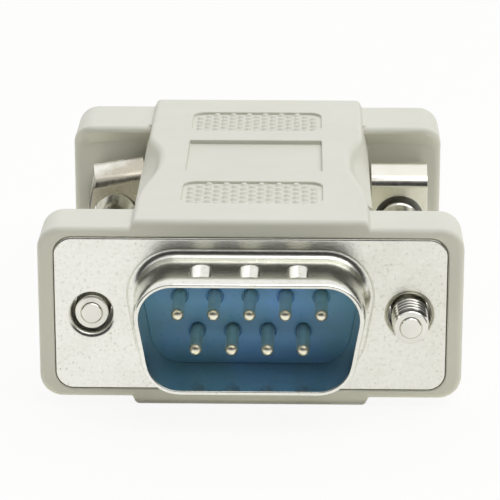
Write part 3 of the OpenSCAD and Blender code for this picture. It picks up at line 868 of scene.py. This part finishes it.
def thread_form(start, end):
    """A right-handed thread from start to end along Y, with a coned tip."""
    form = bmesh.new()
    turns, sides = math.ceil((end - start) / THREAD_PITCH) + 2, 36
    low, shoulder, tip_slope = start - THREAD_PITCH, THREAD_R - 0.03, 0.8
    profile = [(THREAD_ROOT_R, 0), (shoulder, 0.3), (THREAD_R, 0.36), (THREAD_R, 0.46), (shoulder, 0.52)]
    profile += [(THREAD_ROOT_R, 0.82), (THREAD_ROOT_R, 1)]
    chain = [form.verts.new((radius, low + share * THREAD_PITCH, 0)) for radius, share in profile]
    edges = [form.edges.new(pair) for pair in zip(chain, chain[1:])]
    bmesh.ops.spin(
        form,
        geom=chain + edges,
        cent=(0, 0, 0),
        axis=(0, 1, 0),
        dvec=(0, THREAD_PITCH / sides, 0),
        angle=2 * math.pi * turns,
        steps=sides * turns,
    )
    bmesh.ops.remove_doubles(form, verts=form.verts[:], dist=0.0005)
    for y, outward in ((start, -1), (end, 1)):
        everything = form.verts[:] + form.edges[:] + form.faces[:]
        bmesh.ops.bisect_plane(
            form, geom=everything, plane_co=(0, y, 0), plane_no=(0, outward, 0), clear_outer=True
        )
    for vert in form.verts:
        radius = math.hypot(vert.co.x, vert.co.z)
        largest = THREAD_TIP_R + tip_slope * max(vert.co.y - start, 0)
        if radius > largest:
            vert.co.x *= largest / radius
            vert.co.z *= largest / radius
    bmesh.ops.holes_fill(form, edges=[e for e in form.edges if e.is_boundary], sides=0)
    bmesh.ops.recalc_face_normals(form, faces=form.faces[:])
    return form


def add_form(form, part):
    """Adds another closed form's mesh to this one."""
    mesh = bpy.data.meshes.new("part")
    part.to_mesh(mesh)
    part.free()
    form.from_mesh(mesh)
    bpy.data.meshes.remove(mesh)


def screw_form():
    """A jackscrew with its collar at 0: turned tip, thread, neck, collar, shank and head."""
    form = thread_form(TIP_Y + 0.3, THREAD_END_Y)
    stub = [(0, 0), (0.76, 0), (0.82, 0.06), (0.82, 0.2)]
    ring = [(0.9, 0.12), (1.26, 0.17), (1.33, 0.25), (1.33, 0.36), (1.0, 0.7), (0, 0.7)]
    add_form(form, turned([(radius, TIP_Y + back) for radius, back in stub + ring]))
    neck, collar, shank, soft = 1.2, 1.85, 1.6, 0.12
    collar_start, collar_end, shank_start = -2.0, -0.05, 0.55
    body = [
        (0, THREAD_END_Y - 0.3), (1.05, THREAD_END_Y - 0.3), (neck, THREAD_END_Y + 0.1), (neck, collar_start),
        (collar - soft, collar_start), (collar, collar_start + soft),
        (collar, collar_end - soft), (collar - soft, collar_end),
        (neck, collar_end), (neck, shank_start), (shank - soft, shank_start), (shank, shank_start + soft),
        (shank, HEAD_Y + 0.1), (0, HEAD_Y + 0.1),
    ]
    add_form(form, turned(body))
    add_form(form, hex_head_form())
    return form


def hex_head_form():
    """The hexagonal socket head: coned brims on the hexagon, and a threaded hole in its end."""
    across, length, hole_r, hole_depth = 4.75, 4.5, 1.1, 4.0
    corner = across / math.sqrt(3)
    form = bmesh.new()
    bmesh.ops.create_cone(form, cap_ends=True, segments=6, radius1=corner, radius2=corner, depth=length)
    bmesh.ops.rotate(form, cent=(0, 0, 0), matrix=Matrix.Rotation(math.pi / 2, 3, "X"), verts=form.verts[:])
    bmesh.ops.translate(form, vec=(0, HEAD_Y + length / 2, 0), verts=form.verts[:])
    head = make_object("head", form)
    end = HEAD_Y + length
    flat, wide = across / 2 - 0.05, corner + 0.1
    brims = [(0, HEAD_Y - 0.001), (flat, HEAD_Y - 0.001), (wide, HEAD_Y + 0.3)]
    brims += [(wide, end - 0.3), (flat, end + 0.001), (0, end + 0.001)]
    cut(head, make_object("cutter", turned(brims, 72)), "INTERSECT")
    groove = [(0, end - hole_depth), (hole_r - 0.05, end - hole_depth)]
    y = end - hole_depth + 0.3
    while y < end - 0.7:
        groove += [(hole_r, y), (hole_r + 0.22, y + 0.28), (hole_r + 0.22, y + 0.36), (hole_r, y + 0.62)]
        y += THREAD_PITCH
    groove += [(hole_r, end - 0.35), (hole_r + 0.4, end + 0.05), (hole_r + 0.4, end + 1), (0, end + 1)]
    cut(head, make_object("cutter", turned(groove)))
    done = bmesh.new()
    done.from_mesh(head.data)
    bpy.data.objects.remove(head)
    return done


def build_screws():
    """Both jackscrews; the left one sits further back."""
    for side, name, ring_y in ((-1, "left", RING_Y + DRAWN_BACK), (1, "right", RING_Y)):
        form = screw_form()
        bmesh.ops.translate(form, vec=(side * SCREW_X, ring_y, 0), verts=form.verts[:])
        screw = make_object("threaded_jackscrew_" + name, form, 30)
        to_row_frame(screw.data)
        dress(screw, "screw_" + name, "screw_nickel", SCREW_NICKEL, "jackscrew_" + name)


build_shell("drawn_plug_shell", "front_shell", 16.92, 8.36, 2.6, 5.94, 0.65, False)
build_shell("drawn_socket_shell", "rear_shell", 15.33, 6.9, 2.2, 5.9, 0.65, True)
build_screws()
soften("folded_clip_right", "clip_right", "clip_nickel", CLIP_NICKEL, 0.1, crown_clip)
soften("folded_clip_left", "clip_left", "clip_nickel", PAINTED_SHADE_CLIP, 0.1, crown_left_clip, "clip_right")
soften("plug_insulator", "front_insulator", "insulator_blue", BLUE_PLASTIC, 0.03, fill_shell)


# ---- Floor, light and camera ----


def seen_rays(tree, *kinds):
    """1 for any of the named kinds of ray, 0 for the rest."""
    path = tree.nodes.new("ShaderNodeLightPath")
    share = path.outputs[kinds[0]]
    for kind in kinds[1:]:
        larger = tree.nodes.new("ShaderNodeMath")
        larger.operation = "MAXIMUM"
        tree.links.new(share, larger.inputs[0])
        tree.links.new(path.outputs[kind], larger.inputs[1])
        share = larger.outputs[0]
    return share


def floor_finish():
    """A pale table that glows where it is seen, and still takes a faint shadow."""
    finish = bpy.data.materials.new("pale_floor")
    finish.use_nodes = True
    tree = finish.node_tree
    shader = tree.nodes["Principled BSDF"]
    shader.inputs["Base Color"].default_value = (0.9, 0.89, 0.82, 1)
    shader.inputs["Roughness"].default_value = 0.9
    shader.inputs["Specular IOR Level"].default_value = 0.0
    glow = tree.nodes.new("ShaderNodeEmission")
    glow.inputs["Color"].default_value = (1, 1, 1, 1)
    glow.inputs["Strength"].default_value = 1.0
    lift = tree.nodes.new("ShaderNodeMath")
    lift.operation = "MULTIPLY"
    lift.inputs[1].default_value = 0.9
    tree.links.new(seen_rays(tree, "Is Camera Ray", "Is Glossy Ray", "Is Transmission Ray"), lift.inputs[0])
    both = tree.nodes.new("ShaderNodeMixShader")
    tree.links.new(lift.outputs[0], both.inputs["Fac"])
    tree.links.new(shader.outputs[0], both.inputs[1])
    tree.links.new(glow.outputs[0], both.inputs[2])
    tree.links.new(both.outputs[0], tree.nodes["Material Output"].inputs["Surface"])
    return finish


def build_floor():
    form = bmesh.new()
    bmesh.ops.create_grid(form, x_segments=1, y_segments=1, size=3)
    floor = make_object("floor", form)
    floor.data.materials.append(floor_finish())


def build_world():
    """A pale room: bright behind and above the piece, dark low in front of it."""
    world = bpy.data.worlds.new("studio")
    bpy.context.scene.world = world
    world.use_nodes = True
    tree = world.node_tree
    room = tree.nodes["Background"]
    room.inputs["Strength"].default_value = 1.0
    towards = tree.nodes.new("ShaderNodeTexCoord")
    parts = tree.nodes.new("ShaderNodeSeparateXYZ")
    tree.links.new(towards.outputs["Generated"], parts.inputs[0])
    rise = tree.nodes.new("ShaderNodeMath")
    rise.operation = "MULTIPLY_ADD"
    rise.inputs[1].default_value = 1.2
    tree.links.new(parts.outputs["Z"], rise.inputs[0])
    tree.links.new(parts.outputs["Y"], rise.inputs[2])
    height = mapped(tree, rise.outputs[0], (-1.2, 1.6))
    shades = [(0.0, 0.03), (0.42, 0.04), (0.54, 0.15), (0.64, 0.55), (0.74, 0.95), (1.0, 1.0)]
    tone = colour_ramp(tree, height, [(at, (shade * 0.99, shade * 0.99, shade)) for at, shade in shades])
    tree.links.new(tone, room.inputs["Color"])


def soft_lamp(name, place, target, size, power, tint, mirrored=True):
    """A rectangular lamp that the camera doesn't see; metals mirror it unless told otherwise."""
    lamp = bpy.data.lights.new(name, "AREA")
    lamp.shape = "RECTANGLE"
    lamp.size, lamp.size_y = size
    lamp.energy = power
    lamp.color = tint
    holder = bpy.data.objects.new(name, lamp)
    bpy.context.scene.collection.objects.link(holder)
    holder.location = place
    holder.rotation_euler = (Vector(target) - Vector(place)).to_track_quat("-Z", "Y").to_euler()
    holder.visible_camera = False
    holder.visible_glossy = mirrored


def build_camera():
    """A long lens from the front and a little above; distances are in millimetres."""
    azimuth, elevation, distance = math.radians(1.165), math.radians(18.216), 204.247
    level = math.cos(elevation)
    ahead = Vector((-math.sin(azimuth) * level, math.cos(azimuth) * level, -math.sin(elevation)))
    aim = Vector((-0.028, -MID_Y, 5.333 + SCREW_LEVEL))
    camera = bpy.data.cameras.new("camera")
    camera.sensor_width = 36
    camera.lens = 188.76
    camera.clip_start = 0.01
    camera.clip_end = 20
    holder = bpy.data.objects.new("camera", camera)
    bpy.context.scene.collection.objects.link(holder)
    holder.location = (aim - ahead * distance) * MM
    holder.rotation_euler = ahead.to_track_quat("-Z", "Y").to_euler()
    bpy.context.scene.camera = holder


bpy.context.scene.view_settings.view_transform = "Standard"
build_floor()
build_world()
soft_lamp("top_lamp", (0.2, -0.06, 0.47), (0, -0.02, 0), (0.5, 0.5), 0.95, (0.98, 0.99, 1.0))
soft_lamp("high_fill", (0.16, -0.27, 0.38), (0, -0.02, 0), (0.2, 0.2), 0.17, (1.0, 0.98, 0.92), False)
soft_lamp("table_light", (0, -0.03, 0.0004), (0, -0.03, 1), (0.2, 0.14), 0.024, (1.0, 0.96, 0.84), False)
build_camera()
